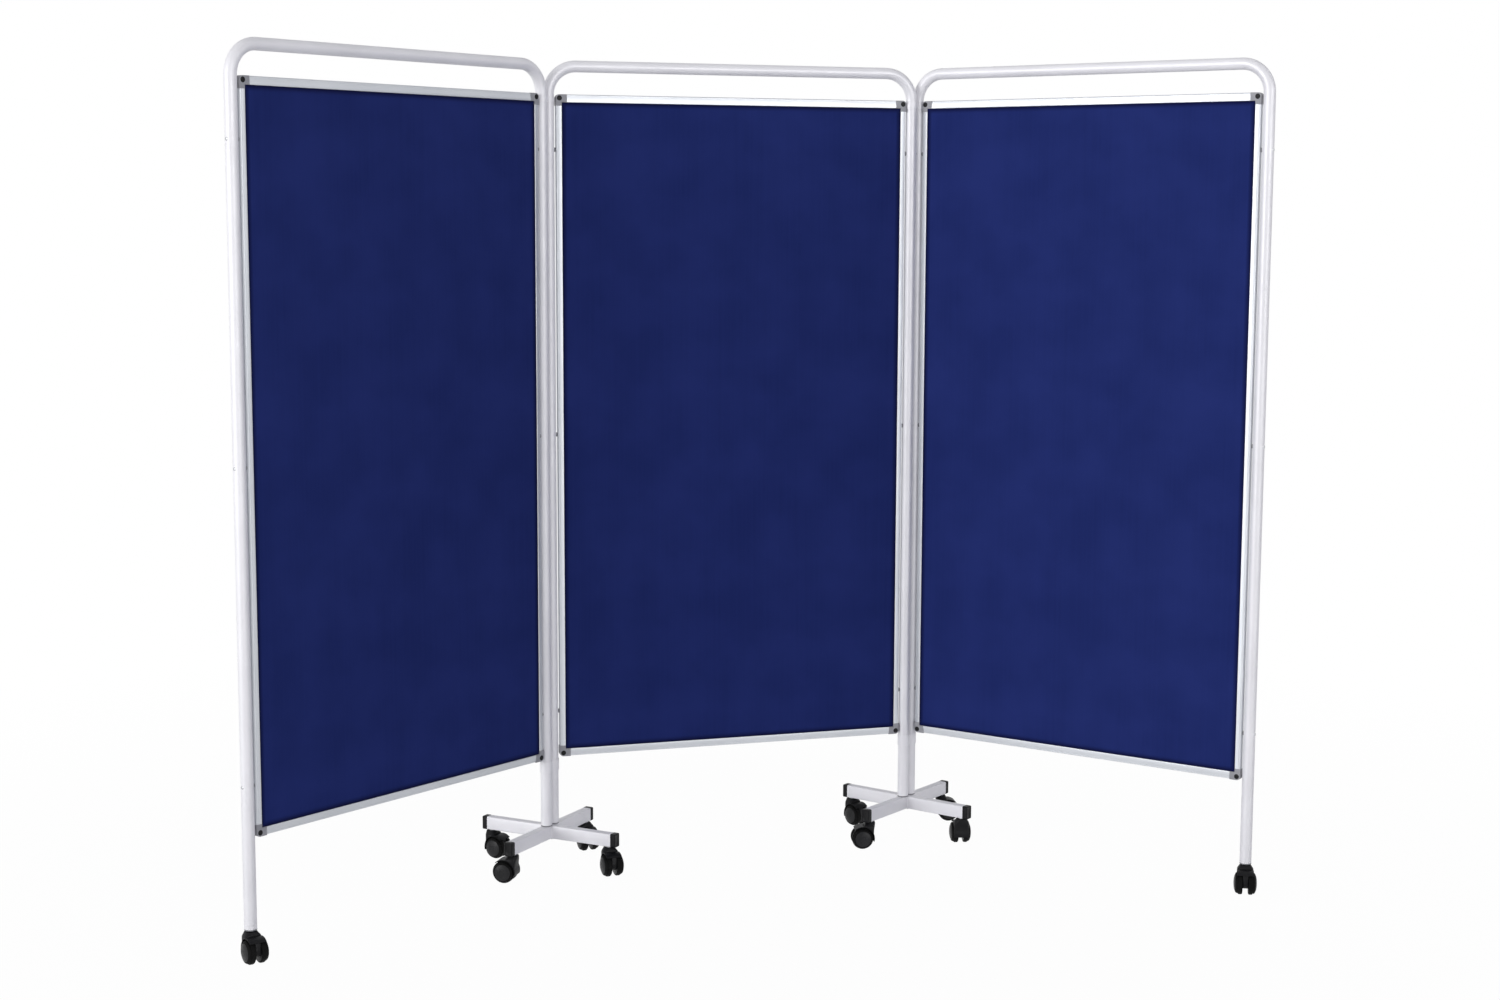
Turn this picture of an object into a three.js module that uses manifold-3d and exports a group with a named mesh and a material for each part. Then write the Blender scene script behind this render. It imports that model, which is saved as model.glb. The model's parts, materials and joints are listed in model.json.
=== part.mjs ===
// Ward privacy screen on wheels: three fabric-faced boards in bent tube frames,
// folding about two cross bases. Millimetres, +Z up, the floor at z = 0.
import * as THREE from 'three';
import { mergeVertices } from 'three/addons/utils/BufferGeometryUtils.js';
import Module from 'manifold-3d';

const wasm = await Module();
wasm.setup();

// Overall sizes and the rest pose
const SCREEN_HEIGHT = 1800;
const PANEL_WIDTH = 875;
const LEFT_BASE_TURN = THREE.MathUtils.degToRad(46);
const LEFT_PANEL_TURN = THREE.MathUtils.degToRad(34.5);
const RIGHT_BASE_TURN = THREE.MathUtils.degToRad(36);
const RIGHT_PANEL_TURN = THREE.MathUtils.degToRad(-51.5);

// Clearance between pieces that touch, clearance of pieces that turn in or round another,
// and how far a cutting tool runs past a face
const CLEARANCE = 0.3;
const RUNNING_CLEARANCE = 0.5;
const OVERRUN = 2;

// Bent tube frame, and the gap between the tubes of neighbouring panels
const TUBE_RADIUS = 12.7;
const TUBE_WALL = 1.2;
const TUBE_GAP = 3;
const BEND_RADIUS = 62;
const BEND_STEPS = 6;
const TUBE_SIDES = 16;
const TUBE_BORE_SIDES = 12;

// Board core and its two cloth faces
const TOP_SLOT = 48;
const BOARD_FOOT = 248;
const CORE_THICKNESS = 9.4;
const CLOTH_THICKNESS = 0.9;

// Aluminium edge of each board, with its moulded corner pieces
const TUBE_TO_EDGE = 2.5;
const RAIL_FACE = 17.5;
const STILE_FACE = 13.5;
const EDGE_WALL = 1.3;
const EDGE_BACK = 2.2;
const EDGE_ROUND = 4;
const EDGE_CURVE_STEPS = 3;
const CORNER_ARM = 7.5;
const CORNER_ROUND = 9;
const CORNER_PROUD = 0.5;

// Standoff bosses on each board's edge, where it is screwed to its tubes
const LOWER_FIXING = 105;
const UPPER_FIXING = 120;
const BOSS_RADIUS = 4;
const BOSS_SIDES = 8;

// Cross base
const ARM_WIDTH = 20;
const ARM_HEIGHT = 30;
const ARM_WALL = 1.5;
const ARM_ROUND = 2.5;
const ARM_REACH = 169;
const ARM_CURVE_STEPS = 2;
const CAP_THICKNESS = 7;
const CAP_PLUG = 8;
const STEM_INSET = 14;

// Pivot pins and the plastic plugs and bushes in the tube ends
const PIN_RADIUS = 5;
const PIN_RISE = 26;
const PIN_SIDES = 12;
const PLUG_FLANGE = 2;
const PLUG_LENGTH = 28;
const PLUG_SIDES = 16;

// Hinge links round each pair of tubes, set down from the foot and the head of the boards
const LINK_WALL = 1.3;
const LINK_WEB = 12;
const LINK_SIDES = 16;
const LOWER_LINK_DROP = 4;
const LOWER_LINK_HEIGHT = 26;
const UPPER_LINK_DROP = 6.6;
const UPPER_LINK_HEIGHT = 12;

// Wheels of the twin-wheel casters
const CASTER_TRAIL = 18;
const WHEEL_RADIUS = 25;
const WHEEL_SIDES = 20;
const WHEEL_GAP = 0.5;
const TREAD_WIDTH = 9.4;
const COVER_BULGE = 9.5;
const COVER_RIM_DROP = 5;
const COVER_CROWN_DROP = 1;
const COVER_RIM_SHARE = 0.9;
const COVER_CROWN_SHARE = 0.56;
const AXLE_RADIUS = 3.5;

// Housings of the casters: a hood, a web between the wheels and a neck round the stem
const HOOD_GAP = 1.2;
const HOOD_WALL = 2;
const HOOD_REAR = THREE.MathUtils.degToRad(48);
const HOOD_FRONT = THREE.MathUtils.degToRad(196);
const HOOD_STEPS = 10;
const WEB_THICKNESS = 11.2;
const WEB_INSET = 5;
const HOUSING_WIDTH = 36;
const NECK_WIDTH = 25;
const NECK_SLOPE = 9;
const NECK_HEIGHT = 8.4;
const NECK_FRONT = 12.5;
const NECK_REAR = 12;
const STEM_RADIUS = 4.5;
const STEM_FLANGE_RADIUS = 7.5;
const STEM_FLANGE_HEIGHT = 1.6;
const STEM_RISE = 24;
const STEM_DEPTH = 12.5;
const STEM_SIDES = 10;

// Which way each caster trails, in degrees about +Z from the room's +X
const CASTER_HEADINGS = {
  left_base_rear_left: -50,
  left_base_front_left: 148,
  left_base_front_right: -85,
  left_base_rear_right: -83,
  right_base_rear_left: -70,
  right_base_front_left: 168,
  right_base_front_right: 77,
  right_base_rear_right: -10,
  left_leg: -72,
  right_leg: -117,
};

// Sizes that follow from the ones above
const SPAN = PANEL_WIDTH - 2 * TUBE_RADIUS;
const TUBE_BORE = TUBE_RADIUS - TUBE_WALL;
const TUBE_PITCH = 2 * TUBE_RADIUS + TUBE_GAP;
const TOP_LINE = SCREEN_HEIGHT - TUBE_RADIUS;
const EDGE_OFFSET = TUBE_RADIUS + TUBE_TO_EDGE;
const EDGE_DEPTH = CORE_THICKNESS + 2 * (CLOTH_THICKNESS + EDGE_WALL + 2 * CLEARANCE);
const CORNER_LEG = RAIL_FACE + CORNER_ARM;
const BOARD_WIDTH = SPAN - 2 * EDGE_OFFSET;
const BOARD_HEAD = SCREEN_HEIGHT - 2 * TUBE_RADIUS - TOP_SLOT;
const BOARD_HEIGHT = BOARD_HEAD - BOARD_FOOT;
const LOWER_FIXING_HEIGHT = BOARD_FOOT + LOWER_FIXING;
const UPPER_FIXING_HEIGHT = BOARD_HEAD - UPPER_FIXING;
const MIDDLE_FIXING_HEIGHT = (LOWER_FIXING_HEIGHT + UPPER_FIXING_HEIGHT) / 2;
const LOWER_LINK_FOOT = BOARD_FOOT - LOWER_LINK_DROP - LOWER_LINK_HEIGHT;
const UPPER_LINK_FOOT = BOARD_HEAD - UPPER_LINK_DROP - UPPER_LINK_HEIGHT;
const WHEEL_INNER = WEB_THICKNESS / 2 + WHEEL_GAP;
const WHEEL_SHOULDER = WHEEL_INNER + TREAD_WIDTH;
const WHEEL_OUTER = WHEEL_SHOULDER + COVER_BULGE;
const HOOD_RADIUS = WHEEL_RADIUS + HOOD_GAP + HOOD_WALL;
const HOUSING_HEAD = WHEEL_RADIUS + HOOD_RADIUS + NECK_HEIGHT;
const STEM_FLANGE_FOOT = HOUSING_HEAD + CLEARANCE;
const ARM_FOOT = STEM_FLANGE_FOOT + STEM_FLANGE_HEIGHT;
const ARM_HEAD = ARM_FOOT + ARM_HEIGHT;
const STEM_REACH = ARM_REACH - STEM_INSET;
const BUSH_FOOT = ARM_HEAD + CLEARANCE;
const BASE_TUBE_FOOT = BUSH_FOOT + PLUG_FLANGE + CLEARANCE;
const LEG_PLUG_FOOT = ARM_FOOT;
const LEG_TUBE_FOOT = LEG_PLUG_FOOT + PLUG_FLANGE + CLEARANCE;
const PIN_PLACES = [-TUBE_PITCH / 2, TUBE_PITCH / 2];
const QUARTERS = [0, 1, 2, 3].map((quarter) => quarter * Math.PI / 2);

const FINISHES = {
  white: { color: 0xeceef0, roughness: 0.35, metalness: 0.1 },
  aluminium: { color: 0xc3c8cf, roughness: 0.35, metalness: 0.9 },
  grey: { color: 0x7d8086, roughness: 0.5, metalness: 0 },
  cloth: { color: 0x1f2f6e, roughness: 1, metalness: 0 },
  board: { color: 0xb49a70, roughness: 0.9, metalness: 0 },
  black: { color: 0x17181a, roughness: 0.45, metalness: 0 },
  steel: { color: 0x8f9399, roughness: 0.4, metalness: 1 },
};

// Geometry helpers

function closed(geometry) {
  geometry.deleteAttribute('normal');
  geometry.deleteAttribute('uv');
  return mergeVertices(geometry);
}

function toSolid(geometry) {
  const body = closed(geometry.clone());
  return new wasm.Manifold(new wasm.Mesh({
    numProp: 3,
    vertProperties: new Float32Array(body.attributes.position.array),
    triVerts: new Uint32Array(body.index.array),
  }));
}

function toGeometry(solid) {
  const mesh = solid.getMesh();
  const geometry = new THREE.BufferGeometry();
  geometry.setAttribute('position', new THREE.BufferAttribute(mesh.vertProperties, 3));
  geometry.setIndex(new THREE.BufferAttribute(mesh.triVerts, 1));
  return geometry;
}

function joined(geometries) {
  return toGeometry(geometries.map(toSolid).reduce((whole, next) => whole.add(next)));
}

function cut(geometry, tools) {
  return toGeometry(tools.map(toSolid).reduce((whole, next) => whole.subtract(next), toSolid(geometry)));
}

function common(first, second) {
  return toGeometry(toSolid(first).intersect(toSolid(second)));
}

function upright(radius, foot, height, sides) {
  const rod = new THREE.CylinderGeometry(radius, radius, height, sides);
  rod.rotateX(Math.PI / 2);
  rod.translate(0, 0, foot + height / 2);
  return rod;
}

function alongX(radius, start, length, sides) {
  const rod = new THREE.CylinderGeometry(radius, radius, length, sides);
  rod.rotateZ(-Math.PI / 2);
  rod.translate(start + length / 2, 0, 0);
  return rod;
}

function alongY(radius, start, length, sides) {
  const rod = new THREE.CylinderGeometry(radius, radius, length, sides);
  rod.translate(0, start + length / 2, 0);
  return rod;
}

// A closed turned body: the profile is [radius, height] pairs from foot to head, on +Z
function turned(profile, sides) {
  const points = profile.map(([radius, height]) => new THREE.Vector2(radius, height));
  const body = new THREE.LatheGeometry(points, sides);
  body.rotateX(Math.PI / 2);
  return body;
}

function outline(points) {
  return new THREE.Shape(points.map(([x, y]) => new THREE.Vector2(x, y)));
}

function extruded(shape, depth, curveSegments) {
  return new THREE.ExtrudeGeometry(shape, { depth, steps: 1, bevelEnabled: false, curveSegments });
}

function roundedRectangle(width, height, round) {
  const shape = new THREE.Shape();
  const right = width / 2;
  const top = height / 2;
  shape.moveTo(round - right, -top);
  shape.lineTo(right - round, -top);
  shape.absarc(right - round, round - top, round, -Math.PI / 2, 0);
  shape.lineTo(right, top - round);
  shape.absarc(right - round, top - round, round, 0, Math.PI / 2);
  shape.lineTo(round - right, top);
  shape.absarc(round - right, top - round, round, Math.PI / 2, Math.PI);
  shape.lineTo(-right, round - top);
  shape.absarc(round - right, round - top, round, Math.PI, 3 * Math.PI / 2);
  return shape;
}

function regularPolygon(radius, sides) {
  const corner = (step) => 2 * Math.PI * step / sides;
  const angles = Array.from({ length: sides }, (_, step) => corner(step));
  return angles.map((angle) => new THREE.Vector2(radius * Math.cos(angle), radius * Math.sin(angle)));
}

function named(name, geometry, finish) {
  geometry.computeVertexNormals();
  const mesh = new THREE.Mesh(geometry, new THREE.MeshStandardMaterial(FINISHES[finish]));
  mesh.name = name;
  return mesh;
}

function groupOf(children) {
  const group = new THREE.Group();
  group.add(...children);
  return group;
}

// Bent tube frame, its left tube on x = 0 and its right tube on x = SPAN

// A path whose stations are given one by one, so that straight runs take no extra rings
class StationPath extends THREE.Curve {
  constructor(stations) {
    super();
    this.stations = stations;
  }

  station(share) {
    return this.stations[Math.round(share * (this.stations.length - 1))];
  }

  getPoint(share, target = new THREE.Vector3()) {
    return target.copy(this.station(share).point);
  }

  getPointAt(share, target = new THREE.Vector3()) {
    return this.getPoint(share, target);
  }

  getTangentAt(share, target = new THREE.Vector3()) {
    return target.copy(this.station(share).direction);
  }
}

function bend(centreX, centreZ, startAngle) {
  const centre = new THREE.Vector3(centreX, 0, centreZ);
  return Array.from({ length: BEND_STEPS + 1 }, (_, step) => {
    const angle = startAngle - step * Math.PI / 2 / BEND_STEPS;
    const outward = new THREE.Vector3(Math.cos(angle), 0, Math.sin(angle));
    return {
      point: outward.multiplyScalar(BEND_RADIUS).add(centre),
      direction: new THREE.Vector3(Math.sin(angle), 0, -Math.cos(angle)),
    };
  });
}

function framePath(leftFoot, rightFoot) {
  const bendLine = TOP_LINE - BEND_RADIUS;
  return new StationPath([
    { point: new THREE.Vector3(0, 0, leftFoot), direction: new THREE.Vector3(0, 0, 1) },
    ...bend(BEND_RADIUS, bendLine, Math.PI),
    ...bend(SPAN - BEND_RADIUS, bendLine, Math.PI / 2),
    { point: new THREE.Vector3(SPAN, 0, rightFoot), direction: new THREE.Vector3(0, 0, -1) },
  ]);
}

function tubeFrame(leftFoot, rightFoot) {
  const section = new THREE.Shape(regularPolygon(TUBE_RADIUS, TUBE_SIDES));
  section.holes.push(new THREE.Path(regularPolygon(TUBE_BORE, TUBE_BORE_SIDES)));
  const path = framePath(leftFoot, rightFoot);
  return new THREE.ExtrudeGeometry(section, {
    extrudePath: path,
    steps: path.stations.length - 1,
    curveSegments: 1,
  });
}

// Aluminium edge: a channel that opens towards the board, outer corners rounded

function edgeSection(face) {
  const side = EDGE_DEPTH / 2;
  const slot = side - EDGE_WALL;
  const shape = new THREE.Shape();
  shape.moveTo(face, -side);
  shape.lineTo(face, -slot);
  shape.lineTo(EDGE_BACK, -slot);
  shape.lineTo(EDGE_BACK, slot);
  shape.lineTo(face, slot);
  shape.lineTo(face, side);
  shape.lineTo(EDGE_ROUND, side);
  shape.absarc(EDGE_ROUND, side - EDGE_ROUND, EDGE_ROUND, Math.PI / 2, Math.PI);
  shape.lineTo(0, EDGE_ROUND - side);
  shape.absarc(EDGE_ROUND, EDGE_ROUND - side, EDGE_ROUND, Math.PI, 3 * Math.PI / 2);
  return shape;
}

// Rails and stiles run into the corner pieces, as far as their middle
function boardStiles() {
  const start = BOARD_FOOT + CORNER_LEG / 2;
  const stile = extruded(edgeSection(STILE_FACE), BOARD_HEIGHT - CORNER_LEG, EDGE_CURVE_STEPS);
  const right = stile.clone().rotateZ(Math.PI).translate(SPAN - EDGE_OFFSET, 0, start);
  return [stile.translate(EDGE_OFFSET, 0, start), right];
}

function boardRails() {
  const length = BOARD_WIDTH - CORNER_LEG;
  const rail = extruded(edgeSection(RAIL_FACE), length, EDGE_CURVE_STEPS);
  rail.rotateY(-Math.PI / 2).translate(EDGE_OFFSET + CORNER_LEG / 2 + length, 0, 0);
  const top = rail.clone().rotateX(Math.PI).translate(0, 0, BOARD_HEAD);
  return [rail.translate(0, 0, BOARD_FOOT), top];
}

// Moulded corner piece: an L with a rounded outer corner, flush with the outer edges.
// One face is the width of its leg along +X, the other that of its leg along +Z.
function cornerPiece(faceAlongX, faceAlongZ) {
  const shape = new THREE.Shape();
  shape.moveTo(CORNER_ROUND, 0);
  shape.lineTo(CORNER_LEG, 0);
  shape.lineTo(CORNER_LEG, faceAlongX);
  shape.lineTo(faceAlongZ, faceAlongX);
  shape.lineTo(faceAlongZ, CORNER_LEG);
  shape.lineTo(0, CORNER_LEG);
  shape.lineTo(0, CORNER_ROUND);
  shape.absarc(CORNER_ROUND, CORNER_ROUND, CORNER_ROUND, Math.PI, 3 * Math.PI / 2);
  const depth = EDGE_DEPTH + 2 * CORNER_PROUD;
  const piece = extruded(shape, depth, EDGE_CURVE_STEPS);
  return piece.rotateX(Math.PI / 2).translate(0, depth / 2, 0);
}

function cornerPieces() {
  const asDrawn = cornerPiece(RAIL_FACE, STILE_FACE);
  const swapped = cornerPiece(STILE_FACE, RAIL_FACE);
  const places = [
    [asDrawn, EDGE_OFFSET, BOARD_FOOT],
    [swapped, EDGE_OFFSET, BOARD_HEAD],
    [asDrawn, SPAN - EDGE_OFFSET, BOARD_HEAD],
    [swapped, SPAN - EDGE_OFFSET, BOARD_FOOT],
  ];
  return places.map(([piece, x, z], turn) => {
    return piece.clone().rotateY(turn * Math.PI / 2).translate(x, 0, z);
  });
}

// Bosses that stand off the stiles' backs and reach the tubes
function standoffBosses() {
  const reach = TUBE_RADIUS + CLEARANCE;
  const length = EDGE_OFFSET + EDGE_BACK / 2 - reach;
  const starts = [reach, SPAN - reach - length];
  const heights = [LOWER_FIXING_HEIGHT, MIDDLE_FIXING_HEIGHT, UPPER_FIXING_HEIGHT];
  return heights.flatMap((height) => starts.map((start) => {
    return alongX(BOSS_RADIUS, start, length, BOSS_SIDES).translate(0, 0, height);
  }));
}

function boardEdge() {
  return joined([...boardStiles(), ...boardRails(), ...cornerPieces(), ...standoffBosses()]);
}

// Board outline: a rectangle let into the channels, stepped back round each corner piece
function boardOutline() {
  const edge = EDGE_BACK + CLEARANCE;
  const stile = STILE_FACE + CLEARANCE;
  const rail = RAIL_FACE + CLEARANCE;
  const leg = CORNER_LEG + CLEARANCE;
  const steps = [[leg, edge], [leg, rail], [stile, rail], [stile, leg], [edge, leg]];
  const backwards = steps.slice().reverse();
  const fromRight = ([x, z]) => [BOARD_WIDTH - x, z];
  const fromTop = ([x, z]) => [x, BOARD_HEIGHT - z];
  return outline([
    ...backwards,
    ...steps.map(fromRight),
    ...backwards.map(fromRight).map(fromTop),
    ...steps.map(fromTop),
  ]);
}

function boardSheet(thickness, middle) {
  const sheet = extruded(boardOutline(), thickness, 1);
  sheet.rotateX(Math.PI / 2);
  return sheet.translate(EDGE_OFFSET, middle + thickness / 2, BOARD_FOOT);
}

// Plug in a tube's end with a flange under it
function endPlug(foot) {
  const plug = TUBE_BORE * Math.cos(Math.PI / TUBE_BORE_SIDES) - CLEARANCE;
  return turned([
    [0, foot],
    [TUBE_RADIUS, foot],
    [TUBE_RADIUS, foot + PLUG_FLANGE],
    [plug, foot + PLUG_FLANGE],
    [plug, foot + PLUG_LENGTH],
    [0, foot + PLUG_LENGTH],
  ], PLUG_SIDES);
}

// Bush that turns on a pivot pin
function footBush(x) {
  const radius = PIN_RADIUS + RUNNING_CLEARANCE;
  const bore = upright(radius, BUSH_FOOT - OVERRUN, PLUG_LENGTH + 2 * OVERRUN, PIN_SIDES);
  return cut(endPlug(BUSH_FOOT), [bore]).translate(x, 0, 0);
}

// Plug of an outer leg, with the caster's stem fixed in it
function legPlug(x) {
  return joined([endPlug(LEG_PLUG_FOOT), casterStem()]).translate(x, 0, 0);
}

function panel(name, leftFoot, rightFoot) {
  const clothMiddle = CORE_THICKNESS / 2 + CLEARANCE + CLOTH_THICKNESS / 2;
  return groupOf([
    named(`${name}_tube_frame`, tubeFrame(leftFoot, rightFoot), 'white'),
    named(`${name}_board_edge`, boardEdge(), 'aluminium'),
    named(`${name}_board_core`, boardSheet(CORE_THICKNESS, 0), 'board'),
    named(`${name}_front_cloth`, boardSheet(CLOTH_THICKNESS, -clothMiddle), 'cloth'),
    named(`${name}_rear_cloth`, boardSheet(CLOTH_THICKNESS, clothMiddle), 'cloth'),
  ]);
}

// Caster: the stem on the Z axis, the wheels trailing towards +X

// Half profile of one wheel, [radius, distance from the caster's middle], hub to cover
const WHEEL_PROFILE = [
  [AXLE_RADIUS, WHEEL_INNER],
  [WHEEL_RADIUS, WHEEL_INNER],
  [WHEEL_RADIUS, WHEEL_SHOULDER],
  [WHEEL_RADIUS * COVER_RIM_SHARE, WHEEL_OUTER - COVER_RIM_DROP],
  [WHEEL_RADIUS * COVER_CROWN_SHARE, WHEEL_OUTER - COVER_CROWN_DROP],
  [0, WHEEL_OUTER],
];

// The wheels stand on a flat facet, so their corners lie just outside the true radius
function casterWheels() {
  const corner = 1 / Math.cos(Math.PI / WHEEL_SIDES);
  const side = WHEEL_PROFILE.map(([radius, offset]) => [radius * corner, offset]);
  const otherSide = side.slice().reverse().map(([radius, offset]) => [radius, -offset]);
  const pair = turned([...otherSide, ...side], WHEEL_SIDES);
  pair.rotateZ(Math.PI / WHEEL_SIDES);
  pair.rotateX(Math.PI / 2);
  return pair.translate(CASTER_TRAIL, 0, WHEEL_RADIUS);
}

// Side outline of the housing: hood over the wheels, neck round the stem, web to the axle
function housingOutline() {
  const around = (radius, angle) => [
    CASTER_TRAIL + radius * Math.cos(angle),
    WHEEL_RADIUS + radius * Math.sin(angle),
  ];
  const hood = Array.from({ length: HOOD_STEPS + 1 }, (_, step) => {
    return around(HOOD_RADIUS, HOOD_REAR + (HOOD_FRONT - HOOD_REAR) * step / HOOD_STEPS);
  });
  const rear = hood.filter(([x]) => x > NECK_REAR);
  const front = hood.filter(([x, z]) => x < 0 && z < WHEEL_RADIUS + HOOD_RADIUS / 2);
  const neck = [[NECK_REAR, HOUSING_HEAD], [-NECK_FRONT, HOUSING_HEAD]];
  const webRadius = WHEEL_RADIUS - WEB_INSET;
  const webFront = around(webRadius, HOOD_FRONT);
  const webRear = around(webRadius, HOOD_REAR);
  const webFoot = [
    [CASTER_TRAIL - webRadius / 2, WHEEL_RADIUS - webRadius / 2],
    [CASTER_TRAIL + webRadius / 2, WHEEL_RADIUS - webRadius / 2],
    [CASTER_TRAIL + webRadius, WHEEL_RADIUS],
  ];
  return outline([...rear, ...neck, ...front, webFront, ...webFoot, webRear]);
}

// End outline: the neck is narrower than the hood
function housingEnd() {
  const half = HOUSING_WIDTH / 2;
  const neckHalf = NECK_WIDTH / 2;
  const shoulder = HOUSING_HEAD - NECK_SLOPE;
  return outline([
    [-half, 0],
    [half, 0],
    [half, shoulder],
    [neckHalf, HOUSING_HEAD],
    [-neckHalf, HOUSING_HEAD],
    [-half, shoulder],
  ]);
}

function casterHousing() {
  const sideBody = extruded(housingOutline(), HOUSING_WIDTH, 1);
  sideBody.rotateX(Math.PI / 2).translate(0, HOUSING_WIDTH / 2, 0);
  const length = 4 * HOOD_RADIUS;
  const endBody = extruded(housingEnd(), length, 1);
  endBody.rotateX(Math.PI / 2).rotateZ(Math.PI / 2).translate(-length / 2, 0, 0);
  const pocketDepth = (HOUSING_WIDTH - WEB_THICKNESS) / 2 + OVERRUN;
  const pockets = [WEB_THICKNESS / 2, -WEB_THICKNESS / 2 - pocketDepth].map((start) => {
    return alongY(WHEEL_RADIUS + HOOD_GAP, start, pocketDepth, WHEEL_SIDES);
  });
  const axleHole = alongY(AXLE_RADIUS + RUNNING_CLEARANCE, -WEB_THICKNESS, 2 * WEB_THICKNESS, PIN_SIDES);
  const wheelCuts = [...pockets, axleHole].map((tool) => tool.translate(CASTER_TRAIL, 0, WHEEL_RADIUS));
  const boreFoot = HOUSING_HEAD - STEM_DEPTH;
  const bore = upright(STEM_RADIUS + RUNNING_CLEARANCE, boreFoot, STEM_DEPTH + OVERRUN, STEM_SIDES);
  return cut(common(sideBody, endBody), [...wheelCuts, bore]);
}

// Stem: its foot turns in the housing, its flange and its upper part are fixed in the carrier
function casterStem() {
  const foot = HOUSING_HEAD - STEM_DEPTH + CLEARANCE;
  return turned([
    [0, foot],
    [STEM_RADIUS, foot],
    [STEM_RADIUS, STEM_FLANGE_FOOT],
    [STEM_FLANGE_RADIUS, STEM_FLANGE_FOOT],
    [STEM_FLANGE_RADIUS, ARM_FOOT],
    [STEM_RADIUS, ARM_FOOT],
    [STEM_RADIUS, ARM_FOOT + STEM_RISE],
    [0, ARM_FOOT + STEM_RISE],
  ], STEM_SIDES);
}

function caster(name, x, y, carrierTurn) {
  const group = groupOf([
    named(`${name}_caster`, casterHousing(), 'black'),
    named(`${name}_wheels`, casterWheels(), 'black'),
  ]);
  group.position.set(x, y, 0);
  group.rotation.z = THREE.MathUtils.degToRad(CASTER_HEADINGS[name]) - carrierTurn;
  return group;
}

// Cross base: its middle on the origin, one arm along X under the pair of tubes

function armSection() {
  return roundedRectangle(ARM_HEIGHT, ARM_WIDTH, ARM_ROUND);
}

function crossed(geometry) {
  return [geometry, geometry.clone().rotateZ(Math.PI / 2)];
}

// The two arms welded into one cross, with the caster stems fixed through their floors
function baseArms() {
  const outer = extruded(armSection(), 2 * ARM_REACH, ARM_CURVE_STEPS);
  outer.rotateY(Math.PI / 2).translate(-ARM_REACH, 0, ARM_FOOT + ARM_HEIGHT / 2);
  const inner = new THREE.BoxGeometry(
    2 * (ARM_REACH + OVERRUN),
    ARM_WIDTH - 2 * ARM_WALL,
    ARM_HEIGHT - 2 * ARM_WALL,
  ).translate(0, 0, ARM_FOOT + ARM_HEIGHT / 2);
  const roof = ARM_HEAD - ARM_WALL;
  const pinHoles = PIN_PLACES.map((x) => {
    const hole = upright(PIN_RADIUS + CLEARANCE, roof - OVERRUN, ARM_WALL + 2 * OVERRUN, PIN_SIDES);
    return hole.translate(x, 0, 0);
  });
  const stems = QUARTERS.map((turn) => casterStem().translate(STEM_REACH, 0, 0).rotateZ(turn));
  return joined([cut(joined(crossed(outer)), [...crossed(inner), ...pinHoles]), ...stems]);
}

function endCap() {
  const face = extruded(armSection(), CAP_THICKNESS - CLEARANCE, ARM_CURVE_STEPS);
  face.rotateY(Math.PI / 2).translate(ARM_REACH + CLEARANCE, 0, 0);
  const plugLength = CAP_PLUG + CAP_THICKNESS / 2;
  const plug = new THREE.BoxGeometry(
    plugLength,
    ARM_WIDTH - 2 * (ARM_WALL + CLEARANCE),
    ARM_HEIGHT - 2 * (ARM_WALL + CLEARANCE),
  ).translate(ARM_REACH - CAP_PLUG + plugLength / 2, 0, 0);
  return joined([face, plug]).translate(0, 0, ARM_FOOT + ARM_HEIGHT / 2);
}

// Pin that stands on the floor of the arm and rises through its roof into a bush
function pivotPin(x) {
  const foot = ARM_FOOT + ARM_WALL + CLEARANCE;
  return upright(PIN_RADIUS, foot, ARM_HEAD + PIN_RISE - foot, PIN_SIDES).translate(x, 0, 0);
}

// Link round both tubes of a pair, with a web in the groove between them
function hingeLink(foot, height) {
  const bore = TUBE_RADIUS + RUNNING_CLEARANCE;
  const ring = (radius, start, length) => PIN_PLACES.map((x) => {
    return upright(radius, start, length, LINK_SIDES).translate(x, 0, 0);
  });
  const web = new THREE.BoxGeometry(TUBE_PITCH, LINK_WEB, height).translate(0, 0, foot + height / 2);
  const body = joined([...ring(bore + LINK_WALL, foot, height), web]);
  return cut(body, ring(bore, foot - OVERRUN, height + 2 * OVERRUN));
}

function crossBase(name, turn) {
  const corners = ['rear_right', 'rear_left', 'front_left', 'front_right'];
  return groupOf([
    named(`${name}_arms`, baseArms(), 'white'),
    named(`${name}_left_pivot_pin`, pivotPin(PIN_PLACES[0]), 'steel'),
    named(`${name}_right_pivot_pin`, pivotPin(PIN_PLACES[1]), 'steel'),
    named(`${name}_lower_hinge_link`, hingeLink(LOWER_LINK_FOOT, LOWER_LINK_HEIGHT), 'white'),
    named(`${name}_upper_hinge_link`, hingeLink(UPPER_LINK_FOOT, UPPER_LINK_HEIGHT), 'white'),
    ...corners.map((corner, index) => {
      return named(`${name}_${corner}_end_cap`, endCap().rotateZ(QUARTERS[index]), 'black');
    }),
    ...corners.map((corner, index) => caster(
      `${name}_${corner}`,
      STEM_REACH * Math.cos(QUARTERS[index]),
      STEM_REACH * Math.sin(QUARTERS[index]),
      turn,
    )),
  ]);
}

// The whole screen: the centre panel along X, the bases and side panels hung from it

const centrePanel = panel('centre', BASE_TUBE_FOOT, BASE_TUBE_FOOT);
centrePanel.add(named('centre_left_foot_bush', footBush(0), 'grey'));
centrePanel.add(named('centre_right_foot_bush', footBush(SPAN), 'grey'));
centrePanel.position.x = -SPAN / 2;

const leftPanel = panel('left', LEG_TUBE_FOOT, BASE_TUBE_FOOT);
leftPanel.add(named('left_leg_plug', legPlug(0), 'grey'));
leftPanel.add(named('left_foot_bush', footBush(SPAN), 'grey'));
leftPanel.add(caster('left_leg', 0, 0, LEFT_PANEL_TURN));
leftPanel.position.x = -SPAN;

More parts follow.
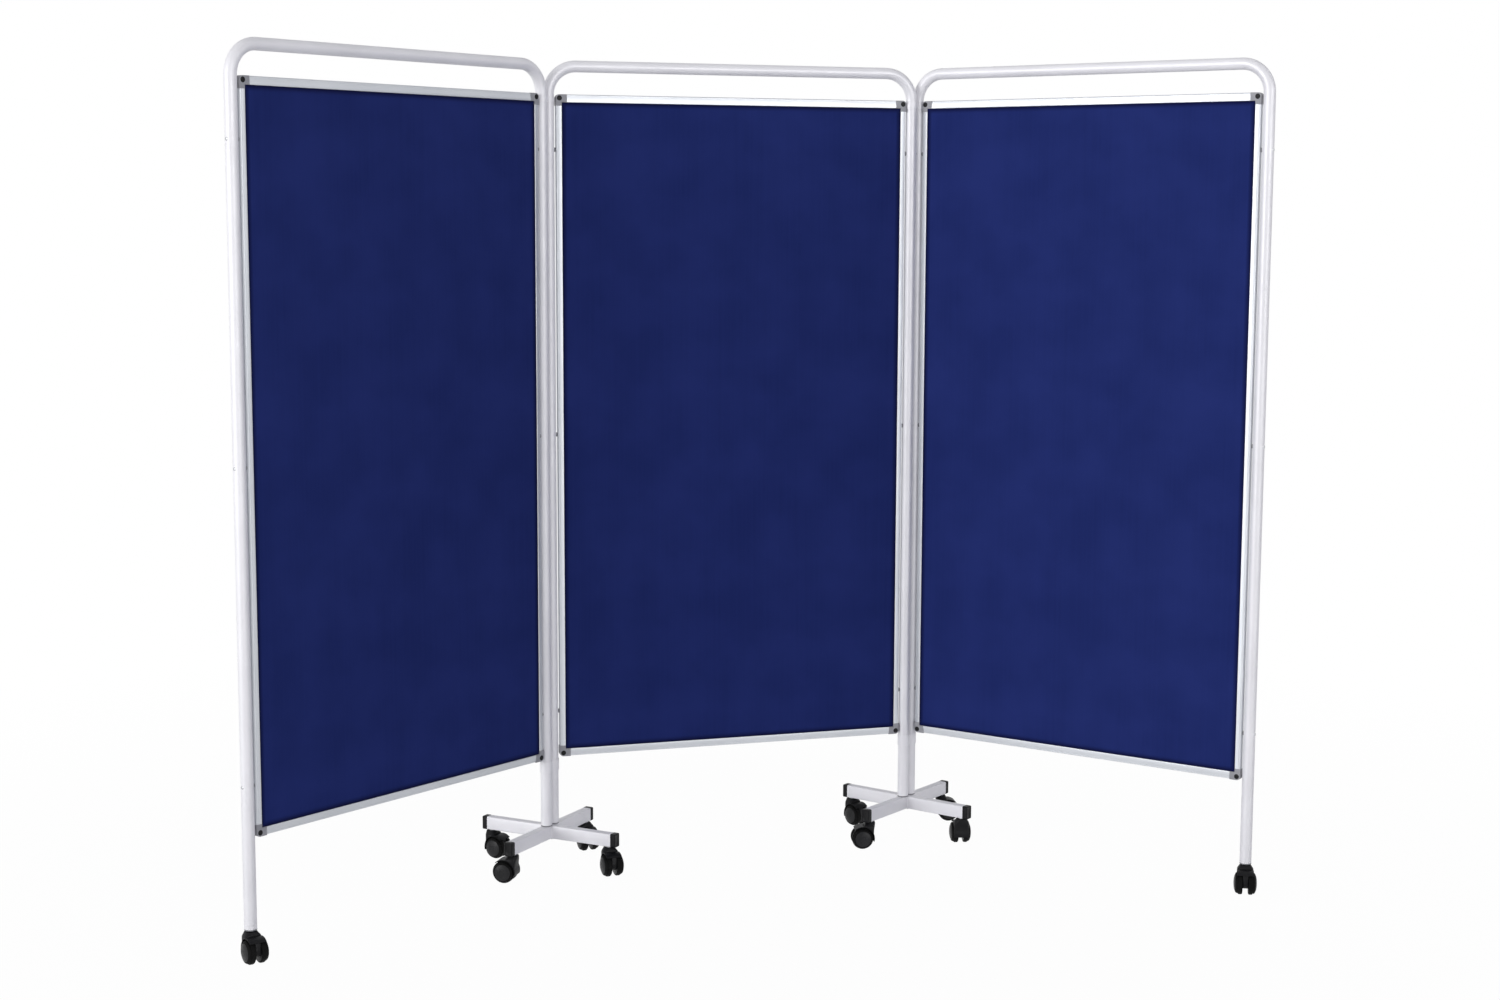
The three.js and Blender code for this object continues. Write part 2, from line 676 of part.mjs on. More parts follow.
const rightPanel = panel('right', BASE_TUBE_FOOT, LEG_TUBE_FOOT);
rightPanel.add(named('right_foot_bush', footBush(0), 'grey'));
rightPanel.add(named('right_leg_plug', legPlug(SPAN), 'grey'));
rightPanel.add(caster('right_leg', SPAN, 0, RIGHT_PANEL_TURN));

const leftWing = groupOf([leftPanel]);
leftWing.position.x = -TUBE_PITCH;
leftWing.rotation.z = LEFT_PANEL_TURN - LEFT_BASE_TURN;

const leftBase = crossBase('left_base', LEFT_BASE_TURN);
leftBase.position.x = -TUBE_PITCH / 2;

const leftJunction = groupOf([leftBase, leftWing]);
leftJunction.position.x = -SPAN / 2;
leftJunction.rotation.z = LEFT_BASE_TURN;

const rightWing = groupOf([rightPanel]);
rightWing.position.x = TUBE_PITCH;
rightWing.rotation.z = RIGHT_PANEL_TURN - RIGHT_BASE_TURN;

const rightBase = crossBase('right_base', RIGHT_BASE_TURN);
rightBase.position.x = TUBE_PITCH / 2;

const rightJunction = groupOf([rightBase, rightWing]);
rightJunction.position.x = SPAN / 2;
rightJunction.rotation.z = RIGHT_BASE_TURN;

const screen = groupOf([centrePanel, leftJunction, rightJunction]);

// The origin is under the middle of the whole screen, on the floor
const middle = new THREE.Box3().setFromObject(screen, true).getCenter(new THREE.Vector3());
screen.position.set(-middle.x, -middle.y, 0);

export default screen;
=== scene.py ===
"""Ward privacy screen on wheels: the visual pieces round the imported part, with camera, light and floor."""

import json
import math

import bmesh
import bpy
import numpy as np
from mathutils import Matrix, Vector


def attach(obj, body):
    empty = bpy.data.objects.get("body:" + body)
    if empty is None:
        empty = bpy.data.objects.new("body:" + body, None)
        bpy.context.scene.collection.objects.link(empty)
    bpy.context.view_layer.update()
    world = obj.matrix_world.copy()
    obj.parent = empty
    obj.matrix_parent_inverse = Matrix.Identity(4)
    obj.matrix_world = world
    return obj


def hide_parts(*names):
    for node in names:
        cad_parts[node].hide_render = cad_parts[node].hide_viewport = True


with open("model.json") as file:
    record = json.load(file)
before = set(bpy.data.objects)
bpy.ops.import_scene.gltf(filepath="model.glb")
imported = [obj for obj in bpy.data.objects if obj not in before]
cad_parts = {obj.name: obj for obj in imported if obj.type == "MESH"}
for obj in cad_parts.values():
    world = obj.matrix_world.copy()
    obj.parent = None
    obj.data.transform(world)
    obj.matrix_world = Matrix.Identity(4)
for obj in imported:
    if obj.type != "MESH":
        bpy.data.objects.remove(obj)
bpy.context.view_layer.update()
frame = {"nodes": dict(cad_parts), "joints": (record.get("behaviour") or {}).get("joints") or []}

# Camera, in metres and radians: yaw is from +Y towards +X
CAMERA_PLACE = (-1.42495, -4.7087, 1.4772)
CAMERA_YAW = 0.3019
CAMERA_PITCH = -0.1259
CAMERA_ROLL = 0.0039
CAMERA_LENS = 54.99
SENSOR_WIDTH = 36

# Sizes of the part, in millimetres unless named otherwise
SPAN = 849.6
TUBE_RADIUS = 12.7
TUBE_BORE = 11.5
TUBE_RIM = 0.4
BORE_DEPTH = 24
TUBE_PITCH = 28.4
TOP_LINE = 1787.3
BEND_RADIUS = 62
BASE_TUBE_FOOT = 96.1
LEG_TUBE_FOOT = 65.8
BUSH_FOOT = 93.8
LEG_PLUG_FOOT = 63.5
PLUG_FLANGE = 2
PLUG_LENGTH = 28
PLUG_RADIUS = 10.8
BUSH_BORE = 5.5

BOARD_FOOT = 248
BOARD_HEAD = 1726.6
EDGE_OFFSET = 15.2
RAIL_FACE = 17.5
STILE_FACE = 13.5
EDGE_HALF = 7.5
EDGE_ROUND = 4
EDGE_CROWN = 2
EDGE_BACK = 2.2
EDGE_SLOT = 6.2
CORNER_LEG = 25
CORNER_ROUND = 9
CORNER_HALF = 8
CORNER_SCREW = 8.2
CLOTH_INSET = 2.5
CLOTH_FACE = 5.7
CLOTH_SWELL = 0.25
CORNER_COVER = 22.8
FIXINGS = (353, 979.8, 1606.6)

ARM_WIDTH = 20
ARM_FOOT = 63.5
ARM_HEAD = 93.5
ARM_ROUND = 2.5
ARM_REACH = 169
CAP_SKIRT = 163.4
CAP_PROUD = 0.4
CAP_END = 176
STEM_REACH = 155
WELD_RADIUS = 1.5
WELD_RIPPLE = 0.22
WELD_PITCH = 2.3
LINK_BORE = 13.2
LINK_OUTSIDE = 14
LINKS = {"lower": (218, 244), "upper": (1708, 1720)}

TRAIL = 18
AXLE_HEIGHT = 25
AXLE_RADIUS = 3.4
WHEEL_INSIDE = 6.1
HOOD_RADIUS = 27.2
HOOD_DEGREES = (48, 196)
HOUSING_HEAD = 61.6
NECK_HALF = 12.5
NECK_SHIFT = 2.7
WEB_HALF = 5.6
STEM_RADIUS = 4.5
STEM_FLANGE = 7.5
STEM_FLANGE_FOOT = 61.9
STEM_FOOT = 49.4
STEM_RISE = 24

ALONG_X = Matrix.Rotation(math.pi / 2, 4, "Y")
ALONG_Y = Matrix.Rotation(-math.pi / 2, 4, "X")
MILLIMETRE = 0.001


def add_object(name, data):
    made = bpy.data.objects.new(name, data)
    bpy.context.scene.collection.objects.link(made)
    return made


# Camera

def make_camera():
    level = Vector((math.cos(CAMERA_YAW), -math.sin(CAMERA_YAW), 0))
    forward = Vector((
        math.sin(CAMERA_YAW) * math.cos(CAMERA_PITCH),
        math.cos(CAMERA_YAW) * math.cos(CAMERA_PITCH),
        math.sin(CAMERA_PITCH),
    ))
    above = level.cross(forward)
    right = level * math.cos(CAMERA_ROLL) + above * math.sin(CAMERA_ROLL)
    up = above * math.cos(CAMERA_ROLL) - level * math.sin(CAMERA_ROLL)
    data = bpy.data.cameras.new("camera")
    data.lens = CAMERA_LENS
    data.sensor_width = SENSOR_WIDTH
    camera = add_object("camera", data)
    turn = Matrix((right, up, -forward)).transposed().to_4x4()
    camera.matrix_world = Matrix.Translation(CAMERA_PLACE) @ turn
    bpy.context.scene.camera = camera


make_camera()


# Materials

def add_node(tree, kind, inputs=None, **settings):
    """Adds a node. An input that is given as a socket is wired, any other is set."""
    made = tree.nodes.new(kind)
    for key, value in settings.items():
        setattr(made, key, value)
    for key, value in (inputs or {}).items():
        if isinstance(value, bpy.types.NodeSocket):
            tree.links.new(value, made.inputs[key])
        else:
            made.inputs[key].default_value = value
    return made


class Finish:
    """A material, with short calls to add and wire its nodes."""

    def __init__(self, name, **values):
        self.material = bpy.data.materials.new(name)
        self.material.use_nodes = True
        self.tree = self.material.node_tree
        self.shader = self.tree.nodes["Principled BSDF"]
        for socket, value in values.items():
            self.shader.inputs[socket.replace("_", " ")].default_value = value

    def node(self, kind, inputs=None, **settings):
        return add_node(self.tree, kind, inputs, **settings)

    def set(self, socket, value):
        self.tree.links.new(value, self.shader.inputs[socket])

    def place(self, scale, kind="Object"):
        coordinates = self.node("ShaderNodeTexCoord")
        mapping = self.node("ShaderNodeMapping", {"Vector": coordinates.outputs[kind], "Scale": scale})
        return mapping.outputs["Vector"]

    def noise(self, scale, detail=2.0, stretch=(1, 1, 1), kind="Object"):
        vector = self.place(stretch, kind)
        made = self.node("ShaderNodeTexNoise", {"Vector": vector, "Scale": scale, "Detail": detail})
        return made.outputs["Fac"]

    def between(self, fac, low, high, start=0.3, end=0.7):
        inputs = {"Value": fac, "From Min": start, "From Max": end, "To Min": low, "To Max": high}
        return self.node("ShaderNodeMapRange", inputs).outputs["Result"]

    def blend(self, fac, first, second):
        """Mixes two colours; the colour sockets of the node are its numbers 6 and 7, and its output 2."""
        return self.node("ShaderNodeMix", {0: fac, 6: first, 7: second}, data_type="RGBA").outputs[2]

    def bump(self, height, strength, distance):
        inputs = {"Height": height, "Strength": strength, "Distance": distance}
        return self.node("ShaderNodeBump", inputs).outputs["Normal"]

    def multiply(self, first, second):
        made = self.node("ShaderNodeMath", {0: first, 1: second}, operation="MULTIPLY")
        return made.outputs["Value"]


def colour(red, green, blue):
    return (red, green, blue, 1)


def powder_coat():
    finish = Finish(
        "white_powder_coat", Metallic=0.12, Specular_IOR_Level=0.12, Specular_Tint=colour(0.3, 0.3, 0.33),
    )
    patches = finish.between(finish.noise(9), 0, 1)
    finish.set("Base Color", finish.blend(patches, colour(0.86, 0.85, 0.87), colour(0.92, 0.91, 0.93)))
    finish.set("Roughness", finish.between(finish.noise(45, 3), 0.36, 0.48))
    orange_peel = finish.noise(620, 1.5)
    finish.set("Normal", finish.bump(orange_peel, 0.18, 0.0004))
    return finish.material


def anodised_aluminium():
    finish = Finish("anodised_aluminium", Metallic=0.5, Specular_IOR_Level=0.3)
    grain = finish.noise(1, 3, (14, 1600, 1), "UV")
    soft = finish.between(finish.noise(7), 0, 1)
    tone = finish.blend(soft, colour(0.60, 0.62, 0.65), colour(0.66, 0.68, 0.71))
    lines = finish.between(grain, 0, 0.3)
    finish.set("Base Color", finish.blend(lines, tone, colour(0.52, 0.54, 0.57)))
    finish.set("Roughness", finish.between(grain, 0.36, 0.5))
    finish.set("Normal", finish.bump(grain, 0.15, 0.0001))
    return finish.material


def moulded_plastic(name, dark, light, roughness, shine):
    finish = Finish(name, Specular_IOR_Level=shine)
    finish.set("Base Color", finish.blend(finish.between(finish.noise(30, 4), 0, 1), dark, light))
    scuffs = finish.noise(140, 5, (1, 1, 2.5))
    finish.set("Roughness", finish.between(scuffs, roughness - 0.06, roughness + 0.08))
    finish.set("Normal", finish.bump(finish.noise(1500, 2), 0.25, 0.0002))
    return finish.material


def bright_steel():
    finish = Finish("bright_steel", Metallic=1.0)
    grain = finish.noise(300, 3, (1, 1, 12))
    finish.set("Base Color", finish.blend(grain, colour(0.46, 0.47, 0.49), colour(0.62, 0.63, 0.65)))
    finish.set("Roughness", finish.between(grain, 0.25, 0.4))
    finish.set("Normal", finish.bump(grain, 0.1, 0.0001))
    return finish.material


def fibreboard():
    finish = Finish("fibreboard", Roughness=0.9)
    fibres = finish.noise(240, 6, (1, 1, 0.35))
    finish.set("Base Color", finish.blend(fibres, colour(0.30, 0.20, 0.11), colour(0.56, 0.42, 0.26)))
    finish.set("Normal", finish.bump(fibres, 0.4, 0.0005))
    return finish.material


def woven_cloth():
    finish = Finish("blue_cloth", Roughness=0.95, Specular_IOR_Level=0.08)
    across, upward = (finish.node("ShaderNodeTexWave", {
        "Vector": finish.place((1, 1, 1)), "Scale": 330, "Distortion": 1.2, "Detail": 1, "Detail Scale": 0.4,
    }, bands_direction=direction).outputs["Fac"] for direction in ("X", "Z"))
    weave = finish.multiply(across, upward)
    streaks = finish.noise(1, 4, (170, 170, 2.2))
    mottle = finish.noise(8, 3)
    dark, light = colour(0.0122, 0.0226, 0.129), colour(0.0144, 0.0263, 0.146)
    ground = finish.blend(finish.between(streaks, 0, 1), dark, light)
    ground = finish.blend(finish.between(mottle, 0, 0.7, 0.36, 0.68), ground, colour(0.0201, 0.0341, 0.180))
    threads = finish.blend(finish.between(weave, 0, 0.3, 0, 1), ground, colour(0.0216, 0.0368, 0.188))
    # Painted shade: the cloth is darkened towards the edges' lips, standing for their shadow and the dip of
    # the cloth under them.
    painted_lip_shade = finish.node("ShaderNodeAttribute", attribute_name="painted_lip_shade").outputs["Fac"]
    shaded = finish.blend(finish.multiply(painted_lip_shade, 0.9), threads, colour(0.004, 0.005, 0.038))
    finish.set("Base Color", shaded)
    finish.set("Normal", finish.bump(weave, 0.45, 0.0003))
    return finish.material


WHITE = powder_coat()
ALUMINIUM = anodised_aluminium()
GREY = moulded_plastic("grey_plastic", colour(0.20, 0.205, 0.215), colour(0.27, 0.275, 0.285), 0.5, 0.3)
BLACK = moulded_plastic("black_plastic", colour(0.006, 0.006, 0.007), colour(0.013, 0.013, 0.014), 0.42, 0.12)
CORNER_GREY = moulded_plastic("corner_plastic", colour(0.30, 0.30, 0.32), colour(0.38, 0.38, 0.40), 0.5, 0.3)
RUBBER = moulded_plastic("black_tread", colour(0.002, 0.002, 0.002), colour(0.006, 0.006, 0.006), 0.62, 0.08)
COVER = moulded_plastic("wheel_cover", colour(0.010, 0.010, 0.011), colour(0.024, 0.024, 0.025), 0.38, 0.16)
STEEL = bright_steel()
CLOTH = woven_cloth()
BOARD = fibreboard()


# Mesh helpers, all in millimetres

def smooth(share):
    share = np.clip(share, 0, 1)
    return share * share * (3 - 2 * share)


class Shape:
    """Points in millimetres, with faces that carry UVs in metres and the number of their finish."""

    def __init__(self):
        self.points = []
        self.faces = []
        self.uvs = []
        self.finishes = []

    def add(self, points):
        start = len(self.points)
        self.points.extend(tuple(float(value) for value in point) for point in points)
        return start

    def face(self, corners, uvs, finish=0):
        self.faces.append([int(corner) for corner in corners])
        self.uvs.extend(uvs)
        self.finishes.append(finish)

    def cap(self, corners):
        uvs = [(self.points[c][0] + self.points[c][1], self.points[c][2]) for c in corners]
        self.face(corners, [(u * MILLIMETRE, v * MILLIMETRE) for u, v in uvs])

    def loft(self, rings, caps=True):
        """Joins rings of as many points each, first to last."""
        rings = np.asarray(rings, float)
        count = rings.shape[1]
        start = self.add(rings.reshape(-1, 3))
        steps = np.linalg.norm(rings[1:] - rings[:-1], axis=2).mean(1)
        along = np.concatenate([[0], np.cumsum(steps)]) * MILLIMETRE
        sides = np.linalg.norm(np.roll(rings, -1, 1) - rings, axis=2)
        around = np.concatenate([[0], np.cumsum(sides[sides.sum(1).argmax()])]) * MILLIMETRE
        for ring in range(len(rings) - 1):
            low, high = start + ring * count, start + (ring + 1) * count
            for side in range(count):
                after = (side + 1) % count
                self.face(
                    (low + side, low + after, high + after, high + side),
                    (
                        (along[ring], around[side]),
                        (along[ring], around[side + 1]),
                        (along[ring + 1], around[side + 1]),
                        (along[ring + 1], around[side]),
                    ),
                )
        if caps:
            self.cap(range(start, start + count))
            last = start + (len(rings) - 1) * count
            self.cap(range(last, last + count))

    def lathe(self, profile, sides, place=None, finishes=None, closed=False):
        """Turns (radius, height) pairs about +Z and puts them in place; finishes has a number per run."""
        place = place or Matrix.Identity(4)
        rows = []
        for radius, height in profile:
            angles = [0] if radius == 0 else [2 * math.pi * k / sides for k in range(sides)]
            ring = [place @ Vector((radius * math.cos(a), radius * math.sin(a), height)) for a in angles]
            rows.append([self.add([point]) for point in ring])
        heights = np.cumsum([0] + [math.dist(a, b) for a, b in zip(profile, profile[1:])])
        pairs = list(zip(rows, rows[1:]))
        if closed:
            pairs.append((rows[-1], rows[0]))
            heights = np.append(heights, heights[-1] + math.dist(profile[-1], profile[0]))
        reach = max(radius for radius, height in profile)
        for number, (low, high) in enumerate(pairs):
            which = finishes[number] if finishes else 0
            v0, v1 = heights[number] * MILLIMETRE, heights[number + 1] * MILLIMETRE
            for side in range(sides):
                after = (side + 1) % sides
                u0, u1 = (2 * math.pi * reach * k / sides * MILLIMETRE for k in (side, side + 1))
                if len(low) == 1:
                    self.face((low[0], high[after], high[side]), ((u0, v0), (u1, v1), (u0, v1)), which)
                elif len(high) == 1:
                    self.face((low[side], low[after], high[0]), ((u0, v0), (u1, v0), (u0, v1)), which)
                else:
                    self.face(
                        (low[side], low[after], high[after], high[side]),
                        ((u0, v0), (u1, v0), (u1, v1), (u0, v1)),
                        which,
                    )

    def plate(self, outline, low, high, edge, to_space, steps=3):
        """A flat plate with rounded edges; to_space turns (u, v, w) into a point, w from low to high."""
        turns = [step * math.pi / 2 / steps for step in range(steps + 1)]
        foot = [(edge * (1 - math.sin(turn)), low + edge * (1 - math.cos(turn))) for turn in turns]
        head = [(drawn_in, low + high - w) for drawn_in, w in reversed(foot)]
        rings = []
        for drawn_in, w in foot + head:
            rings.append([to_space(u, v, w) for u, v in inset(outline, drawn_in)])
        self.loft(rings)

    def mesh(self, name, *finishes, sharp=38):
        made = bpy.data.meshes.new(name)
        points = [tuple(value * MILLIMETRE for value in point) for point in self.points]
        made.from_pydata(points, [], self.faces)
        layer = made.uv_layers.new(name="metres")
        layer.data.foreach_set("uv", np.asarray(self.uvs, float).ravel())
        made.polygons.foreach_set("material_index", self.finishes)
        for finish in finishes:
            made.materials.append(finish)
        tidy = bmesh.new()
        tidy.from_mesh(made)
        bmesh.ops.recalc_face_normals(tidy, faces=tidy.faces)
        tidy.to_mesh(made)
        tidy.free()
        made.shade_smooth()
        made.set_sharp_from_angle(angle=math.radians(sharp))
        return made


def inset(outline, distance):
    """The outline, counter-clockwise, drawn in by a distance."""
    points = np.asarray(outline, float)
    before = points - np.roll(points, 1, 0)
    after = np.roll(points, -1, 0) - points
    normals = []
    for run in (before, after):
        run = run / np.linalg.norm(run, axis=1)[:, None]
        normals.append(np.stack([-run[:, 1], run[:, 0]], 1))
    first, second = normals
    return points + distance * (first + second) / (1 + (first * second).sum(1))[:, None]


def rounded_rectangle(width, height, radius, steps=5):
    corners = [
        (width / 2 - radius, height / 2 - radius, 0),
        (radius - width / 2, height / 2 - radius, 1),
        (radius - width / 2, radius - height / 2, 2),
        (width / 2 - radius, radius - height / 2, 3),
    ]
    points = []
    for x, y, quarter in corners:
        for step in range(steps + 1):
            angle = (quarter + step / steps) * math.pi / 2
            points.append((x + radius * math.cos(angle), y + radius * math.sin(angle)))
    return points


def superellipse(half_x, power, count):
    """A closed curve from -half_x to half_x and from -1 to 1, squarer with a higher power."""
    points = []
    for step in range(count):
        angle = 2 * math.pi * step / count
        c, s = math.cos(angle), math.sin(angle)
        points.append((
            half_x * math.copysign(abs(c) ** (2 / power), c),
            math.copysign(abs(s) ** (2 / power), s),
        ))
    return points


# Where the pieces go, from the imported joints

def joint_place(name):
    found = next(joint for joint in frame["joints"] if joint["name"] == name)
    return Vector(found["pos_m"])


def standing_frame(origin, towards):
    """A frame on the floor under origin, its X towards the second point and its Z up."""
    along = Vector((towards.x - origin.x, towards.y - origin.y, 0)).normalized()
    return Matrix((
        (along.x, -along.y, 0, origin.x),
        (along.y, along.x, 0, origin.y),
        (0, 0, 1, 0),
        (0, 0, 0, 1),
    ))


def add_piece(name, mesh, place, body, slot, *replaced):
    piece = add_object(name, mesh)
    piece.matrix_world = place
    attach(piece, body)
    if replaced:
        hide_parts(*replaced)
    return piece


# Panels: X from the left tube to the right one, the front towards -Y

def tube_mesh(name, left_foot, right_foot, sides=48, bend_steps=24):
    """An upside-down U, open at both feet. A station is x, z, the tube's direction there, and its radius."""
    bend_line = TOP_LINE - BEND_RADIUS
    stations = [
        (0, left_foot + BORE_DEPTH, 0, 1, TUBE_BORE),
        (0, left_foot + 0.3, 0, 1, TUBE_BORE),
        (0, left_foot, 0, 1, TUBE_RADIUS - TUBE_RIM),
        (0, left_foot + TUBE_RIM, 0, 1, TUBE_RADIUS),
    ]
    for centre_x, first_turn in ((BEND_RADIUS, math.pi), (SPAN - BEND_RADIUS, math.pi / 2)):
        for step in range(bend_steps + 1):
            turn = first_turn - step * math.pi / 2 / bend_steps
            stations.append((
                centre_x + BEND_RADIUS * math.cos(turn),
                bend_line + BEND_RADIUS * math.sin(turn),
                math.sin(turn),
                -math.cos(turn),
                TUBE_RADIUS,
            ))
    stations += [
        (SPAN, right_foot + TUBE_RIM, 0, -1, TUBE_RADIUS),
        (SPAN, right_foot, 0, -1, TUBE_RADIUS - TUBE_RIM),
        (SPAN, right_foot + 0.3, 0, -1, TUBE_BORE),
        (SPAN, right_foot + BORE_DEPTH, 0, -1, TUBE_BORE),
    ]
    rings = []
    for x, z, run_x, run_z, radius in stations:
        ring = []
        for side in range(sides):
            angle = 2 * math.pi * side / sides
            out = radius * math.cos(angle)
            ring.append((x - run_z * out, radius * math.sin(angle), z + run_x * out))
        rings.append(ring)
    shape = Shape()
    shape.loft(rings, caps=False)
    return shape.mesh(name, WHITE, sharp=30)


def edge_section(face):
    """Half profile and its mirror image: distance from the outer face, and place across the board."""
    lip = 1.1
    groove = 0.45

    def crowned(depth, across):
        return depth, across - EDGE_CROWN * max(0, 1 - depth / (face - lip)) ** 2

    half = []
    for step in range(9):
        angle = step * math.pi / 16
        half.append(crowned(
            EDGE_ROUND * (1 - math.cos(angle)),
            EDGE_HALF - EDGE_ROUND * (1 - math.sin(angle)),
        ))
    half += [crowned(*point) for point in (
        (4.6, EDGE_HALF), (4.8, EDGE_HALF - groove), (5.3, EDGE_HALF - groove), (5.5, EDGE_HALF),
    )]
    half += [crowned(depth, EDGE_HALF) for depth in np.linspace(5.5, face - lip, 6)[1:-1]]
    for step in range(6):
        angle = step * math.pi / 10
        half.append((face - lip * (1 - math.sin(angle)), EDGE_HALF - lip * (1 - math.cos(angle))))
    half += [(face, EDGE_SLOT), (EDGE_BACK, EDGE_SLOT)]
    front = [(depth, -across) for depth, across in half]
    return front + list(reversed(half))


def edge_mesh(name, face, start, end, to_space):
    """A rail or stile: to_space turns (depth, across, length) into a point."""
    shape = Shape()
    rings = [[to_space(depth, across, at) for depth, across in edge_section(face)] for at in (start, end)]
    shape.loft(rings)
    return shape.mesh(name, ALUMINIUM, sharp=30)


def corner_outline(face_along_x, face_along_z):
    """An L with a rounded outer corner; one face is its width along +X, the other along +Z."""
    points = []
    for step in range(9):
        angle = math.pi + step * math.pi / 16
        points.append((
            CORNER_ROUND * (1 + math.cos(angle)),
            CORNER_ROUND * (1 + math.sin(angle)),
        ))
    fillet = 1.5
    points += [(CORNER_LEG, 0), (CORNER_LEG, face_along_x)]
    for step in range(4):
        angle = -math.pi / 2 - step * math.pi / 6
        points.append((
            face_along_z + fillet * (1 + math.cos(angle)),
            face_along_x + fillet * (1 + math.sin(angle)),
        ))
    points += [(face_along_z, CORNER_LEG), (0, CORNER_LEG)]
    return points


def corner_mesh(name, face_along_x, face_along_z):
    shape = Shape()
    outline = corner_outline(face_along_x, face_along_z)
    shape.plate(outline, -CORNER_HALF, CORNER_HALF, 0.9, lambda u, v, w: (u, w, v))
    return shape.mesh(name, CORNER_GREY, sharp=50)


def corner_screw_mesh():
    """Blackened screws, front and rear, each in a dark ring."""
    ring = [(5.6, -0.4), (5.6, 0.1), (5.3, 0.22), (4.2, 0.22), (4.0, -0.4)]
    head = [
        (0, 0.02), (1.2, 0.02), (1.3, 0.2), (2.8, 0.22), (3.6, 0.08), (4.1, 0.02), (4.1, -0.4), (0, -0.4),
    ]
    shape = Shape()
    for side in (-1, 1):
        centre = Matrix.Translation((CORNER_SCREW, side * (CORNER_HALF + 0.05), CORNER_SCREW))
        place = centre @ Matrix.Rotation(-side * math.pi / 2, 4, "X")
        shape.lathe(ring, 32, place, closed=True)
        shape.lathe(head, 32, place)
    return shape.mesh("corner_screws", BLACK)


def standoff_mesh():
    """Bosses between tube and board at each fixing, sunk a little into the tube."""
    sunk = 0.1
    length = EDGE_OFFSET - TUBE_RADIUS - sunk
    profile = [(0, 0), (4.3, 0), (4.6, 0.3), (4.6, length - 0.3), (4.3, length), (0, length)]
    shape = Shape()
    for height in FIXINGS:
        for start in (TUBE_RADIUS - sunk, SPAN - TUBE_RADIUS + sunk - length):
            shape.lathe(profile, 24, Matrix.Translation((start, 0, height)) @ ALONG_X)
    return shape.mesh("standoffs", GREY)


def tube_screw_mesh():
    """Pan-head screws on the outer sides of both tubes."""
    profile = [
        (0, 0.45), (1.3, 0.45), (1.5, 1.0), (2.5, 1.05), (3.3, 0.75), (3.75, 0.2), (3.8, -0.4), (0, -0.4),
    ]
    sunk = 0.15
    shape = Shape()
    for height in FIXINGS:
        left = Matrix.Translation((-TUBE_RADIUS + sunk, 0, height)) @ Matrix.Rotation(-math.pi / 2, 4, "Y")
        right = Matrix.Translation((SPAN + TUBE_RADIUS - sunk, 0, height)) @ ALONG_X
        for place in (left, right):
            shape.lathe(profile, 24, place)
    return shape.mesh("tube_screws", STEEL)


def cloth_lines(start, end, lip):
    """Grid lines across the cloth, close together where it dips under the edge's lip."""
    near = [0, lip / 2, lip - 2.5, lip + 0.3, lip + 2, lip + 4.5, CORNER_COVER, 27, 32, 40]
    middle = np.linspace(start + 50, end - 50, round((end - start - 100) / 10) + 1)
    return np.concatenate([[start + d for d in near], middle, [end - d for d in reversed(near)]])


def cloth_mesh(name, side, seed):
    """One stretched face of a board: side is -1 in front and 1 behind."""
    left = EDGE_OFFSET + CLOTH_INSET
    right = SPAN - left
    foot, head = BOARD_FOOT + CLOTH_INSET, BOARD_HEAD - CLOTH_INSET
    stile_lip, rail_lip = STILE_FACE - CLOTH_INSET, RAIL_FACE - CLOTH_INSET
    xs, zs = cloth_lines(left, right, stile_lip), cloth_lines(foot, head, rail_lip)
    grid_x, grid_z = np.meshgrid(xs, zs)
    from_side = np.minimum(grid_x - left, right - grid_x) - stile_lip
    from_end = np.minimum(grid_z - foot, head - grid_z) - rail_lip
    from_lip = np.minimum(from_side, from_end)
    chance = np.random.default_rng(seed)
    waves = np.zeros_like(grid_x)
    for _ in range(7):
        across, up = chance.uniform(-1, 1) / 90, chance.uniform(-1, 1) / 260
        waves += np.sin(grid_x * across + grid_z * up + chance.uniform(0, 6.3)) * chance.uniform(0.02, 0.05)
    depth = CLOTH_FACE + CLOTH_SWELL * smooth(from_lip / 45) + waves * smooth(from_lip / 60)
    points = np.stack([grid_x, side * depth, grid_z], 2).reshape(-1, 3) * MILLIMETRE
    columns = len(xs)
    faces = []
    for row in range(len(zs) - 1):
        middle = (zs[row] + zs[row + 1]) / 2
        in_z = min(middle - foot, head - middle)
        for column in range(columns - 1):
            middle = (xs[column] + xs[column + 1]) / 2
            in_x = min(middle - left, right - middle)
            under_edge = in_x < stile_lip + 0.3 or in_z < rail_lip + 0.3
            under_corner_piece = under_edge and max(in_x, in_z) < CORNER_COVER
            if not under_corner_piece:
                first = row * columns + column
                faces.append((first, first + 1, first + columns + 1, first + columns))
    made = bpy.data.meshes.new(name)
    made.from_pydata([tuple(point) for point in points], [], faces)
    made.materials.append(CLOTH)
    layer = made.uv_layers.new(name="metres")
    corners = np.zeros(len(made.loops), int)
    made.loops.foreach_get("vertex_index", corners)
    layer.data.foreach_set("uv", points[corners][:, [0, 2]].ravel())
    # Painted shade along the lips: 1 under them, fading to 0 about 12 mm in; the cloth material darkens with
    # it.
    painted_lip_shade = made.attributes.new("painted_lip_shade", "FLOAT", "POINT")
    painted_lip_shade.data.foreach_set("value", 1 - smooth((from_lip.ravel() - 1) / 11))
    made.shade_smooth()
    return made


